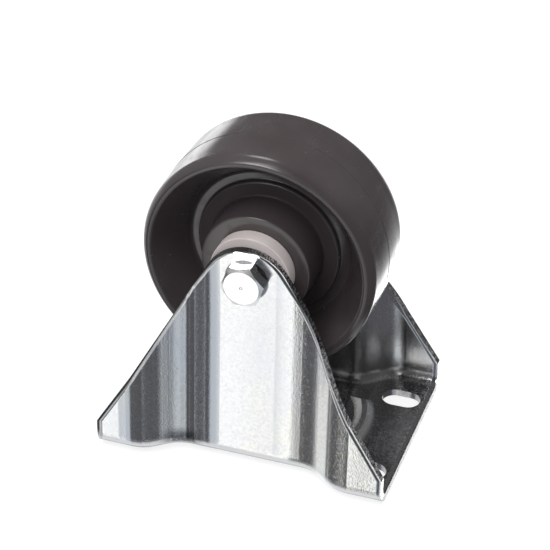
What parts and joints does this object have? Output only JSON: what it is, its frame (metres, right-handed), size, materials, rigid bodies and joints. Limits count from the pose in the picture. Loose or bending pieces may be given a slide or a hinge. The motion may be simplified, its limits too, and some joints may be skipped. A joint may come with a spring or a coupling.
{
  "type": "fixed castor",
  "caption": "Fixed castor: moulded plastic wheel on a bolted axle in a pressed, zinc-plated steel bracket with a slotted top plate.",
  "frame": {"origin": "middle of the plate's flat mounting face, under the axle", "axes": "+X along the plate and the way the wheel rolls, +Y along the axle towards the nut, +Z from the plate to the wheel"},
  "size_m": [0.1, 0.0726, 0.1115],
  "materials": {
    "zinc_sheet": "bright zinc plate on cold-rolled sheet, fine mottled grain",
    "zinc_bolt": "bright zinc plate",
    "zinc_nut": "bright zinc plate",
    "ring_nylon": "plain",
    "sleeve_steel": "turned",
    "wheel_plastic": "glossy brown-black moulding",
    "bush_plastic": "satin"
  },
  "bodies": {
    "fork": {"bracket": "zinc_sheet", "axle_bolt": "zinc_bolt", "lock_nut": "zinc_nut", "nut_ring": "ring_nylon", "axle_sleeve": "sleeve_steel"},
    "rolling_wheel": {"wheel": "wheel_plastic", "bush_near": "bush_plastic", "bush_far": "bush_plastic"}
  },
  "joints": [
    {"name": "wheel_spin", "type": "hinge", "parent": "fork", "child": "rolling_wheel", "pos_m": [0, 0, 0.0715], "axis": [0, 1, 0], "continuous": true}
  ]
}
